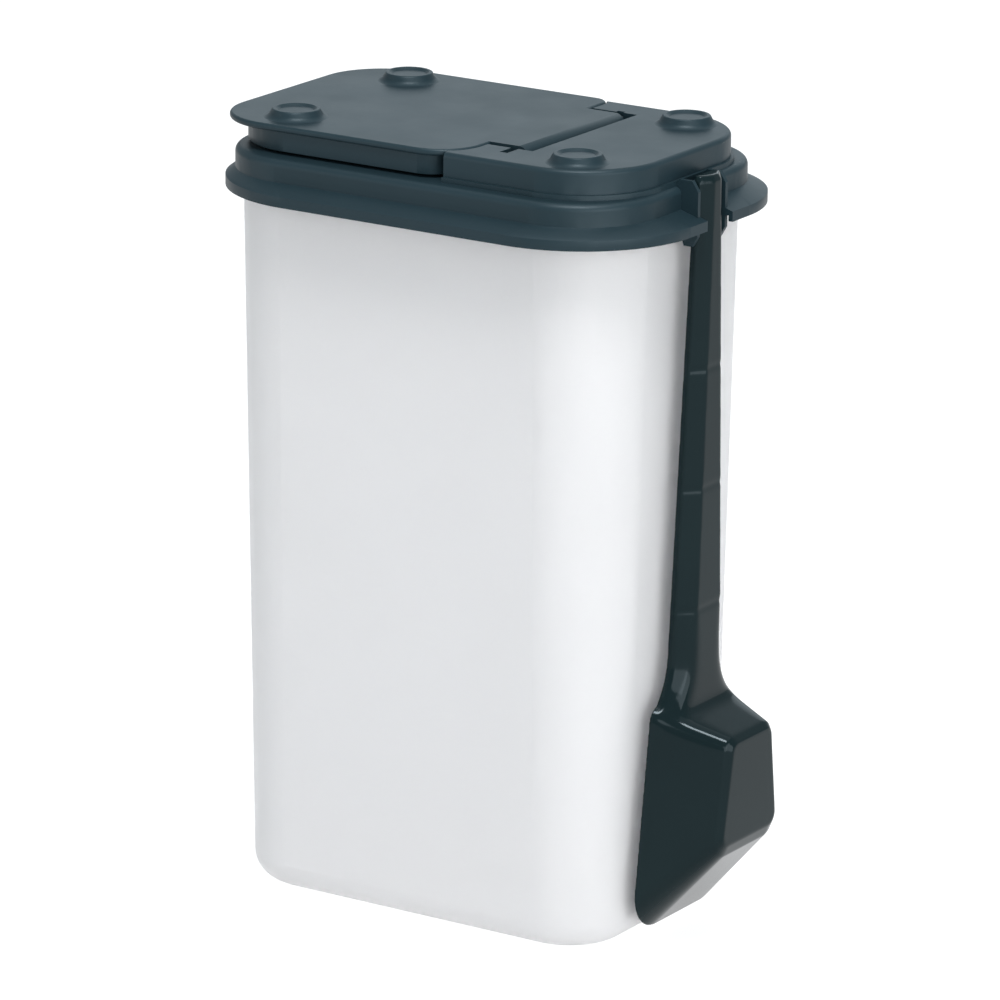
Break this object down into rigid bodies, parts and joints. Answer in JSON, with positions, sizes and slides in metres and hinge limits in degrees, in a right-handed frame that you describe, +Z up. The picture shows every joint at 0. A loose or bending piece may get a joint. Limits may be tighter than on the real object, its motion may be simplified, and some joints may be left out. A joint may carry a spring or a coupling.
{
  "type": "pet food bin",
  "caption": "Tall tapered translucent bin with a dark press-fit lid, a hinged pouring flap, dished stacking studs and a scoop clipped to one end.",
  "frame": {"origin": "centre of the bin's flat underside, on the surface it stands on", "axes": "+X along the long side towards the scoop, +Y across the bin, +Z up"},
  "size_m": [0.2488, 0.161, 0.3528],
  "materials": {
    "bin_plastic": "translucent natural polypropylene, satin",
    "lid_plastic": "dark green-grey moulded plastic with a fine matt texture",
    "scoop_plastic": "glossy near-black green moulded plastic",
    "pin_plastic": "dark smooth plastic rod",
    "seal_rubber": "soft pale silicone"
  },
  "bodies": {
    "bin": {"bin_body": "bin_plastic"},
    "lid": {"lid": "lid_plastic", "lid_seal": "seal_rubber", "hinge_pin": "pin_plastic"},
    "flap": {"flap": "lid_plastic", "flap_seal": "seal_rubber"},
    "scoop": {"scoop": "scoop_plastic"}
  },
  "joints": [
    {"name": "lid_lift", "type": "slide", "parent": "bin", "child": "lid", "axis": [0, 0, 1], "range_m": [0, 0.08]},
    {"name": "flap_hinge", "type": "hinge", "parent": "lid", "child": "flap", "pos_m": [0.037, 0, 0.3439], "axis": [0, 1, 0], "range_deg": [0, 115]},
    {"name": "scoop_pull", "type": "slide", "parent": "lid", "child": "scoop", "axis": [1, 0, 0], "range_m": [0, 0.06]}
  ]
}
